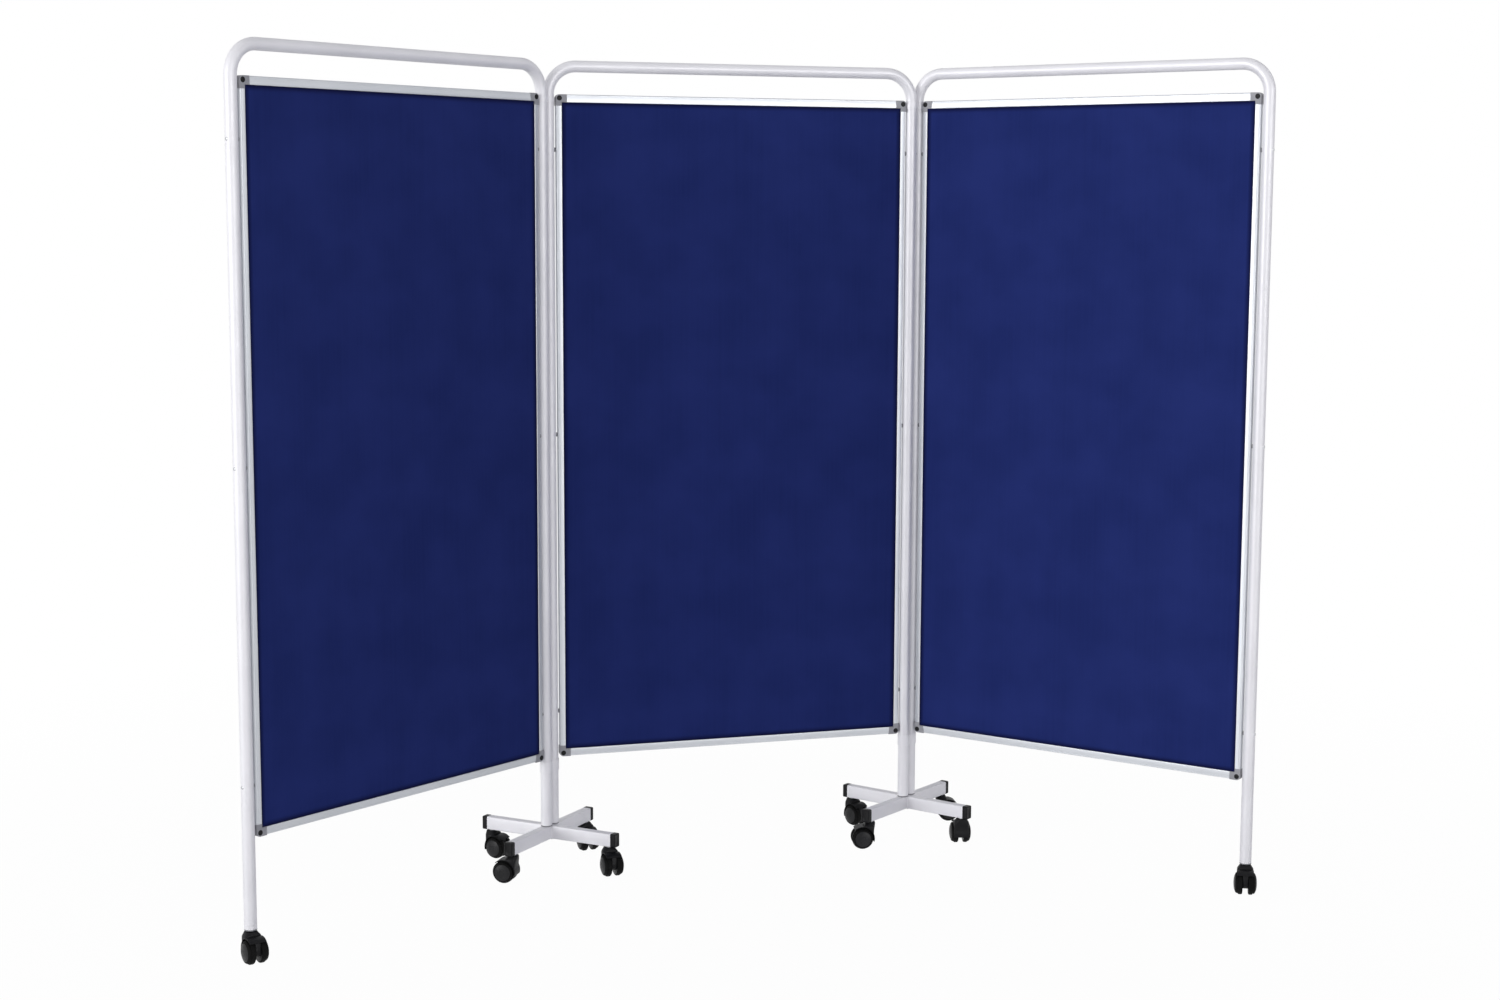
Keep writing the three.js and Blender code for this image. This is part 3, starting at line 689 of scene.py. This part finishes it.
CORNER_MESHES = [
    corner_mesh("corner_piece", RAIL_FACE, STILE_FACE),
    corner_mesh("turned_corner_piece", STILE_FACE, RAIL_FACE),
]
CORNER_SCREWS = corner_screw_mesh()
STANDOFFS = standoff_mesh()
TUBE_SCREWS = tube_screw_mesh()
INSIDE_CORNER = CORNER_LEG / 2
STILE_ENDS = (BOARD_FOOT + INSIDE_CORNER, BOARD_HEAD - INSIDE_CORNER)
RAIL_ENDS = (EDGE_OFFSET + INSIDE_CORNER, SPAN - EDGE_OFFSET - INSIDE_CORNER)
EDGES = {
    "left_stile": edge_mesh("left_stile", STILE_FACE, *STILE_ENDS,
                            lambda depth, across, at: (EDGE_OFFSET + depth, across, at)),
    "right_stile": edge_mesh("right_stile", STILE_FACE, *STILE_ENDS,
                             lambda depth, across, at: (SPAN - EDGE_OFFSET - depth, across, at)),
    "bottom_rail": edge_mesh("bottom_rail", RAIL_FACE, *RAIL_ENDS,
                             lambda depth, across, at: (at, across, BOARD_FOOT + depth)),
    "top_rail": edge_mesh("top_rail", RAIL_FACE, *RAIL_ENDS,
                          lambda depth, across, at: (at, across, BOARD_HEAD - depth)),
}
CORNERS = {
    "bottom_left": (EDGE_OFFSET, BOARD_FOOT),
    "top_left": (EDGE_OFFSET, BOARD_HEAD),
    "top_right": (SPAN - EDGE_OFFSET, BOARD_HEAD),
    "bottom_right": (SPAN - EDGE_OFFSET, BOARD_FOOT),
}


def dress_panel(name, place, left_foot, right_foot, seed):
    body = f"{name}_panel"
    tube = tube_mesh(f"{name}_bent_tube", left_foot, right_foot)
    add_piece(f"{name}_bent_tube", tube, place, body, "white_powder_coat", f"{name}_tube_frame")
    for edge, mesh in EDGES.items():
        add_piece(f"{name}_{edge}", mesh, place, body, "aluminium", f"{name}_board_edge")
    for number, (corner, (x, z)) in enumerate(CORNERS.items()):
        shift = Matrix.Translation((x * MILLIMETRE, 0, z * MILLIMETRE))
        there = place @ shift @ Matrix.Rotation(number * math.pi / 2, 4, "Y")
        piece, mesh = f"{name}_{corner}_corner", CORNER_MESHES[number % 2]
        add_piece(piece, mesh, there, body, "grey_plastic", f"{name}_board_edge")
        add_piece(f"{piece}_screws", CORNER_SCREWS, there, body, "black_plastic")
    add_piece(f"{name}_standoffs", STANDOFFS, place, body, "grey_plastic", f"{name}_board_edge")
    add_piece(f"{name}_tube_screws", TUBE_SCREWS, place, body, "steel")
    for face, side in (("front", -1), ("rear", 1)):
        mesh = cloth_mesh(f"{name}_{face}_sheet", side, seed + side)
        sheet = add_piece(f"{name}_{face}_sheet", mesh, place, body, "blue_cloth", f"{name}_{face}_cloth")
    frame["nodes"][f"{name}_board_core"].material_slots[0].material = BOARD


# Feet of the tubes

def bush_mesh(name, foot, bore):
    """A flanged bush, or a solid plug if the bore is 0."""
    shape = Shape()
    flange = foot + PLUG_FLANGE
    profile = [
        (TUBE_RADIUS - 0.5, foot), (TUBE_RADIUS, foot + 0.5), (TUBE_RADIUS, flange - TUBE_RIM),
        (TUBE_RADIUS - TUBE_RIM, flange), (PLUG_RADIUS, flange), (PLUG_RADIUS, foot + PLUG_LENGTH),
    ]
    if bore:
        shape.lathe([(bore, foot), *profile, (bore, foot + PLUG_LENGTH)], 48, closed=True)
    else:
        shape.lathe([(0, foot), *profile, (0, foot + PLUG_LENGTH)], 48)
    return shape.mesh(name, GREY)


def stem_mesh():
    """Caster stem with its flange under the arm or plug."""
    head = ARM_FOOT + STEM_RISE
    shape = Shape()
    shape.lathe([
        (0, STEM_FOOT), (STEM_RADIUS - 0.4, STEM_FOOT), (STEM_RADIUS, STEM_FOOT + 0.4),
        (STEM_RADIUS, STEM_FLANGE_FOOT), (STEM_FLANGE - 0.3, STEM_FLANGE_FOOT),
        (STEM_FLANGE, STEM_FLANGE_FOOT + 0.3), (STEM_FLANGE, ARM_FOOT - 0.1),
        (STEM_RADIUS, ARM_FOOT), (STEM_RADIUS, head), (0, head),
    ], 32)
    return shape.mesh("caster_stem", STEEL)


BUSH = bush_mesh("foot_bush", BUSH_FOOT, BUSH_BORE)
LEG_PLUG = bush_mesh("leg_plug", LEG_PLUG_FOOT, 0)
STEM = stem_mesh()


# Cross bases: X along the arm under the pair of tubes

def arms_mesh():
    """One whole arm, and the two halves of the other, a hair lower, welded to its sides."""
    shape = Shape()
    height = ARM_HEAD - ARM_FOOT
    middle = ARM_FOOT + height / 2
    section = rounded_rectangle(ARM_WIDTH, height, ARM_ROUND)
    shape.loft([[(at, across, middle + up) for across, up in section] for at in (-ARM_REACH, ARM_REACH)])
    lower = rounded_rectangle(ARM_WIDTH, height - 0.06, ARM_ROUND)
    inside = 6
    for side in (-1, 1):
        shape.loft([
            [(across, side * at, middle + up) for across, up in lower] for at in (inside, ARM_REACH)
        ])
        weld_bead(shape, side * (ARM_WIDTH / 2 + 0.2))
    return shape.mesh("cross_arms", WHITE)


def weld_bead(shape, y, sides=10):
    """A rippled bead down both sides and along the bottom of a welded arm."""
    corner = 2
    half = ARM_WIDTH / 2
    path = [(-half, z) for z in np.linspace(ARM_HEAD - 1.8, ARM_FOOT + corner, 45)]
    path += [
        (-half + corner * (1 - math.cos(a)), ARM_FOOT + corner * (1 - math.sin(a)))
        for a in np.linspace(0.2, math.pi / 2, 6)
    ]
    path += [(x, ARM_FOOT) for x in np.linspace(corner - half + 0.6, 0, 13)]
    path += [(-x, z) for x, z in reversed(path[:-1])]
    path = np.asarray(path)
    run = np.gradient(path, axis=0)
    run /= np.linalg.norm(run, axis=1)[:, None]
    travelled = np.concatenate([[0], np.cumsum(np.linalg.norm(np.diff(path, axis=0), axis=1))])
    rings = []
    for (x, z), (run_x, run_z), at in zip(path, run, travelled):
        ends = min(1, at / 1.5 + 0.3, (travelled[-1] - at) / 1.5 + 0.3)
        radius = (WELD_RADIUS + WELD_RIPPLE * math.sin(2 * math.pi * at / WELD_PITCH)) * ends
        ring = []
        for side in range(sides):
            angle = 2 * math.pi * side / sides
            out = radius * math.cos(angle)
            ring.append((x - run_z * out, y + radius * math.sin(angle), z + run_x * out))
        rings.append(ring)
    shape.loft(rings)


def end_cap_mesh():
    """A moulded cap with a thin skirt over the arm's end."""
    shape = Shape()
    height = ARM_HEAD - ARM_FOOT
    middle = ARM_FOOT + height / 2
    round_over = 2.2
    least_round = 0.6
    stations = [(CAP_SKIRT, 0.1), (CAP_SKIRT + 0.3, 0), (CAP_END - round_over, 0)]
    for step in range(1, 6):
        angle = step * math.pi / 10
        stations.append((
            CAP_END - round_over * (1 - math.sin(angle)),
            round_over * (1 - math.cos(angle)),
        ))
    stations += [(CAP_END - 0.1, 3.2), (CAP_END - 0.55, 3.6)]
    rings = []
    for at, drawn_in in stations:
        inward = drawn_in - CAP_PROUD
        corner = max(ARM_ROUND - inward, least_round)
        section = rounded_rectangle(ARM_WIDTH - 2 * inward, height - 2 * inward, corner)
        rings.append([(at, across, middle + up) for across, up in section])
    shape.loft(rings)
    return shape.mesh("end_cap", BLACK, sharp=50)


def link_mesh(name, foot, head):
    """Hinge link: a ring round each tube, and a web with filleted sides in the groove between them."""
    shape = Shape()
    soft = 0.35
    ring = [
        (LINK_BORE, foot + soft), (LINK_BORE + soft, foot), (LINK_OUTSIDE - soft, foot),
        (LINK_OUTSIDE, foot + soft), (LINK_OUTSIDE, head - soft), (LINK_OUTSIDE - soft, head),
        (LINK_BORE + soft, head), (LINK_BORE, head - soft),
    ]
    for x in (-TUBE_PITCH / 2, TUBE_PITCH / 2):
        shape.lathe(ring, 64, Matrix.Translation((x, 0, 0)), closed=True)
    fillet = 2.5
    rise = math.sqrt((LINK_OUTSIDE + fillet) ** 2 - (TUBE_PITCH / 2) ** 2)
    start = math.atan2(-rise, TUBE_PITCH / 2)
    groove = []
    for step in range(9):
        angle = -start + (math.pi + 2 * start) * step / 8
        groove.append((fillet * math.cos(angle), -rise + fillet * math.sin(angle)))
    side = [(-2.0, -6.5), (-1.3, -3.5), (-0.9, 0), (-1.3, 3.5), (-2.0, 6.5)]
    outline = groove + side + [(-x, -y) for x, y in groove] + [(-x, -y) for x, y in side]
    outline = outline[::-1]
    shape.loft([[(x, y, z) for x, y in outline] for z in (foot + 0.1, head - 0.1)])
    return shape.mesh(name, WHITE, sharp=30)


ARMS = arms_mesh()
END_CAP = end_cap_mesh()
LINK_MESHES = {level: link_mesh(f"{level}_link", *heights) for level, heights in LINKS.items()}


def dress_base(name, left_pin, right_pin):
    middle = (left_pin + right_pin) / 2
    place = standing_frame(middle, right_pin)
    cross = ARMS.copy()
    cross.transform(place)
    add_piece(f"{name}_welded_cross", cross, Matrix.Identity(4), name, "white_powder_coat", f"{name}_arms")
    for level, mesh in LINK_MESHES.items():
        link = f"{name}_{level}_link"
        add_piece(link, mesh, place, name, "white_powder_coat", f"{name}_{level}_hinge_link")
    out = Matrix.Translation((STEM_REACH * MILLIMETRE, 0, 0))
    for number, corner in enumerate(("rear_right", "rear_left", "front_left", "front_right")):
        arm = place @ Matrix.Rotation(number * math.pi / 2, 4, "Z")
        add_piece(f"{name}_{corner}_cap", END_CAP, arm, name, "black_plastic", f"{name}_{corner}_end_cap")
        add_piece(f"{name}_{corner}_stem", STEM, arm @ out, name, "steel", f"{name}_arms")
    for side in ("left", "right"):
        frame["nodes"][f"{name}_{side}_pivot_pin"].material_slots[0].material = STEEL


# Casters: the stem on Z, the wheels trailing towards +X

def wheels_mesh():
    """Two wheels on their axle. A row is the radius, the distance from the middle and the run's finish."""
    half = [
        (3.5, WHEEL_INSIDE, 1),
        (21.8, WHEEL_INSIDE, 0), (23.4, 6.5, 0), (24.4, 7.3, 0), (24.9, 8.3, 0), (25, 9.4, 0),
        (25, 13.4, 0), (24.8, 14.4, 0), (24.3, 15.2, 0), (23.7, 15.5, 0), (23.4, 15.2, 0), (22.9, 15.3, 0),
        (22.8, 16.4, 0), (22.7, 17.9, 0), (22.1, 19.4, 0), (21.1, 20.6, 0), (19.9, 21.3, 0), (19.3, 21.0, 0),
        (18.8, 21.1, 0), (18.3, 21.9, 1), (14.5, 23.5, 1), (10, 24.4, 1), (6.4, 24.7, 1), (6.1, 24.4, 1),
        (5.6, 24.4, 1), (5.3, 24.75, 1), (2.6, 24.95, 1), (0, 25, 1),
    ]
    profile = [(0, WHEEL_INSIDE)] + [(radius, at) for radius, at, _ in half]
    finishes = [1] + [finish for _, _, finish in half[:-1]]
    axle = [(0, -WHEEL_INSIDE), (AXLE_RADIUS, -WHEEL_INSIDE), (AXLE_RADIUS, WHEEL_INSIDE), (0, WHEEL_INSIDE)]
    centre = Matrix.Translation((TRAIL, 0, AXLE_HEIGHT))
    shape = Shape()
    for side in (-1, 1):
        place = centre @ Matrix.Rotation(-side * math.pi / 2, 4, "X")
        shape.lathe(profile, 64, place, finishes=finishes)
    shape.lathe(axle, 24, centre @ ALONG_Y, finishes=[1, 1, 1])
    return shape.mesh("twin_wheels", RUBBER, COVER, sharp=28)


def around_axle(radius, angle):
    return TRAIL + radius * math.cos(angle), AXLE_HEIGHT + radius * math.sin(angle)


def hood(shape):
    """The guard over both wheels, with rolled side edges."""
    half = [(26.2, 16.9), (26.5, 17.6), (27.0, 17.95), (27.5, 17.9), (27.95, 17.3), (28.15, 16.4), (28.2, 14)]
    section = half + [(radius, -across) for radius, across in reversed(half)]
    first, last = (math.radians(turn) for turn in HOOD_DEGREES)
    steps = 36
    rings = []
    for step in range(steps + 1):
        angle = first + (last - first) * step / steps
        near_end = min(step, steps - step)
        thin = {0: 0.55, 1: 0.9}.get(near_end, 1.0)
        ring = []
        for radius, across in section:
            x, z = around_axle(HOOD_RADIUS + (radius - HOOD_RADIUS) * thin, angle)
            ring.append((x, across, z))
        rings.append(ring)
    shape.loft(rings)


def neck(shape):
    """The swelling from the hood up to the collar round the stem."""
    top = superellipse(12.2, 2.5, 48)
    bottom = superellipse(11.6, 5, 48)
    rings = []
    collar = [(0.0, -1.1), (0.03, -0.3), (0.08, 0)]
    levels = [*collar, *((share, 0) for share in (0.2, 0.32, 0.45, 0.6, 0.75, 0.88, 1.0))]
    for share, drawn_in in levels:
        ring = []
        for (top_x, top_y), (bottom_x, bottom_y) in zip(top, bottom):
            lower = float(smooth(share * 1.4))
            x = (top_x - 0.25) * (1 - lower) + (bottom_x + NECK_SHIFT) * lower
            hood_top = AXLE_HEIGHT + math.sqrt(27.4 ** 2 - (bottom_x + NECK_SHIFT - TRAIL) ** 2)
            z = HOUSING_HEAD + (hood_top - HOUSING_HEAD) * share
            half = NECK_HALF + 5.2 * float(smooth((HOUSING_HEAD - z) / 10))
            y = (top_y * (1 - lower) + bottom_y * lower) * (half + drawn_in)
            ring.append((x * (1 + drawn_in / NECK_HALF), y, z))
        rings.append(ring)
    shape.loft(rings)


def web(shape):
    """The plate between the wheels that holds the axle."""
    points = [around_axle(26.6, math.radians(angle)) for angle in range(52, 193, 7)]
    points += [around_axle(20, math.radians(angle)) for angle in (200, 212)]
    points += [(6.5, 15.8), (9, 15), (27, 15), (31, 16.6), (36, 20.5), (37.8, 25), (36.5, 33)]
    shape.plate(points, -WEB_HALF, WEB_HALF, 0.8, lambda u, v, w: (u, w, v), steps=2)


def housing_mesh():
    shape = Shape()
    hood(shape)
    neck(shape)
    web(shape)
    return shape.mesh("caster_housing", BLACK, sharp=42)


WHEELS = wheels_mesh()
HOUSING = housing_mesh()


def dress_caster(name):
    place = standing_frame(joint_place(f"{name}_swivel"), joint_place(f"{name}_roll"))
    add_piece(f"{name}_housing", HOUSING, place, f"{name}_caster", "black_plastic", f"{name}_caster")
    add_piece(f"{name}_twin_wheels", WHEELS, place, f"{name}_wheels", "black_plastic", f"{name}_wheels")


# The whole screen

left_end = joint_place("left_leg_swivel")
left_inner = joint_place("left_panel_pivot")
centre_left = joint_place("left_base_pivot")
centre_right = joint_place("right_base_pivot")
right_inner = joint_place("right_panel_pivot")
right_end = joint_place("right_leg_swivel")

PLACES = {
    "left": standing_frame(left_end, left_inner),
    "centre": standing_frame(centre_left, centre_right),
    "right": standing_frame(right_inner, right_end),
}
FEET = {
    "left": (LEG_TUBE_FOOT, BASE_TUBE_FOOT),
    "centre": (BASE_TUBE_FOOT, BASE_TUBE_FOOT),
    "right": (BASE_TUBE_FOOT, LEG_TUBE_FOOT),
}
FAR_SIDE = Matrix.Translation((SPAN * MILLIMETRE, 0, 0))

for number, name in enumerate(PLACES):
    dress_panel(name, PLACES[name], *FEET[name], seed=10 * number + 7)

BUSHES = {
    "centre_left_foot_bush": ("centre", Matrix.Identity(4)),
    "centre_right_foot_bush": ("centre", FAR_SIDE),
    "left_foot_bush": ("left", FAR_SIDE),
    "right_foot_bush": ("right", Matrix.Identity(4)),
}
for node, (panel, shift) in BUSHES.items():
    add_piece(f"{node}_turned", BUSH, PLACES[panel] @ shift, f"{panel}_panel", "grey_plastic", node)
for panel, shift in (("left", Matrix.Identity(4)), ("right", FAR_SIDE)):
    place, body, plug = PLACES[panel] @ shift, f"{panel}_panel", f"{panel}_leg_plug"
    add_piece(f"{plug}_turned", LEG_PLUG, place, body, "grey_plastic", plug)
    add_piece(f"{panel}_leg_stem", STEM, place, body, "steel", plug)

dress_base("left_base", left_inner, centre_left)
dress_base("right_base", centre_right, right_inner)

for joint in frame["joints"]:
    if joint["name"].endswith("_swivel"):
        dress_caster(joint["name"].removesuffix("_swivel"))


# Floor, light and background

def seen_directly(tree):
    """1 for rays from the camera, glossy rays and rays through glass."""
    rays = add_node(tree, "ShaderNodeLightPath").outputs
    seen = rays["Is Camera Ray"]
    for name in ("Is Glossy Ray", "Is Transmission Ray"):
        either = add_node(tree, "ShaderNodeMath", {0: seen, 1: rays[name]}, operation="MAXIMUM")
        seen = either.outputs["Value"]
    return seen


def make_floor():
    """A matt floor that the camera sees almost evenly white, with a faint shadow."""
    reach = 14
    mesh = bpy.data.meshes.new("floor")
    corners = [(-reach, -reach, 0), (reach, -reach, 0), (reach, reach, 0), (-reach, reach, 0)]
    mesh.from_pydata(corners, [], [(0, 1, 2, 3)])
    floor = add_object("floor", mesh)
    material = bpy.data.materials.new("floor_white")
    material.use_nodes = True
    tree = material.node_tree
    tree.nodes.remove(tree.nodes["Principled BSDF"])
    diffuse = add_node(tree, "ShaderNodeBsdfDiffuse", {"Color": colour(0.82, 0.82, 0.83)})
    glow = add_node(tree, "ShaderNodeEmission", {"Color": colour(1, 1, 1), "Strength": 1.0})
    place = add_node(tree, "ShaderNodeNewGeometry").outputs["Position"]
    distance = add_node(tree, "ShaderNodeVectorMath", {0: place}, operation="LENGTH")
    fade = add_node(tree, "ShaderNodeMapRange", {
        "Value": distance.outputs["Value"], "From Min": 1.0, "From Max": 3.0, "To Min": 0.975, "To Max": 1.0,
    })
    share = add_node(tree, "ShaderNodeMath", {
        0: seen_directly(tree), 1: fade.outputs["Result"],
    }, operation="MULTIPLY")
    mix = add_node(tree, "ShaderNodeMixShader", {
        "Fac": share.outputs["Value"], 1: diffuse.outputs["BSDF"], 2: glow.outputs["Emission"],
    })
    tree.links.new(mix.outputs["Shader"], tree.nodes["Material Output"].inputs["Surface"])
    mesh.materials.append(material)


def make_world(horizon, zenith):
    """A sky that lights more from the horizon than from above, and looks white to the camera."""
    world = bpy.data.worlds.new("studio")
    bpy.context.scene.world = world
    world.use_nodes = True
    tree = world.node_tree
    soft = tree.nodes["Background"]
    soft.inputs["Color"].default_value = colour(0.93, 0.94, 1.0)
    direction = add_node(tree, "ShaderNodeTexCoord").outputs["Generated"]
    height = add_node(tree, "ShaderNodeSeparateXYZ", {"Vector": direction}).outputs["Z"]
    fade = add_node(tree, "ShaderNodeMapRange", {
        "Value": height, "From Min": 0, "From Max": 0.9, "To Min": horizon, "To Max": zenith,
    })
    tree.links.new(fade.outputs["Result"], soft.inputs["Strength"])
    white = add_node(tree, "ShaderNodeBackground", {"Color": colour(1, 1, 1), "Strength": 1.0})
    mix = add_node(tree, "ShaderNodeMixShader", {
        "Fac": seen_directly(tree), 1: soft.outputs["Background"], 2: white.outputs["Background"],
    })
    tree.links.new(mix.outputs["Shader"], tree.nodes["World Output"].inputs["Surface"])


def add_lamp(name, kind, power, place, back):
    """A lamp that shines away from the direction back."""
    data = bpy.data.lights.new(name, kind)
    data.energy = power
    lamp = add_object(name, data)
    lamp.rotation_mode = "QUATERNION"
    lamp.rotation_quaternion = back.to_track_quat("Z", "Y")
    lamp.location = place
    return lamp


def make_sun(name, azimuth, elevation, strength, softness, shine_only=False):
    """A distant soft lamp; azimuth 0 is in front of the screen and grows towards its left."""
    azimuth, elevation = math.radians(azimuth), math.radians(elevation)
    back = Vector((
        -math.sin(azimuth) * math.cos(elevation),
        -math.cos(azimuth) * math.cos(elevation),
        math.sin(elevation),
    ))
    lamp = add_lamp(name, "SUN", strength, back * 6, back)
    lamp.data.angle = math.radians(softness)
    lamp.visible_diffuse = not shine_only


def make_softbox(name, place, aim, size, power):
    lamp = add_lamp(name, "AREA", power, place, Vector(place) - Vector(aim))
    lamp.data.shape = "SQUARE"
    lamp.data.size = size


make_floor()
make_world(horizon=1.07, zenith=0.18)
make_sun("key", azimuth=66, elevation=8, strength=1.2, softness=24)
make_sun("fill", azimuth=-50, elevation=8, strength=0.24, softness=25)
make_sun("front_shine", azimuth=-17, elevation=2, strength=1.15, softness=30, shine_only=True)
make_sun("side_shine", azimuth=80, elevation=2, strength=0.3, softness=20, shine_only=True)
make_softbox("side", place=(-1.85, -1.35, 1.15), aim=(-0.7, 0, 0.95), size=1.0, power=2.5)

bpy.context.scene.view_settings.view_transform = "Standard"
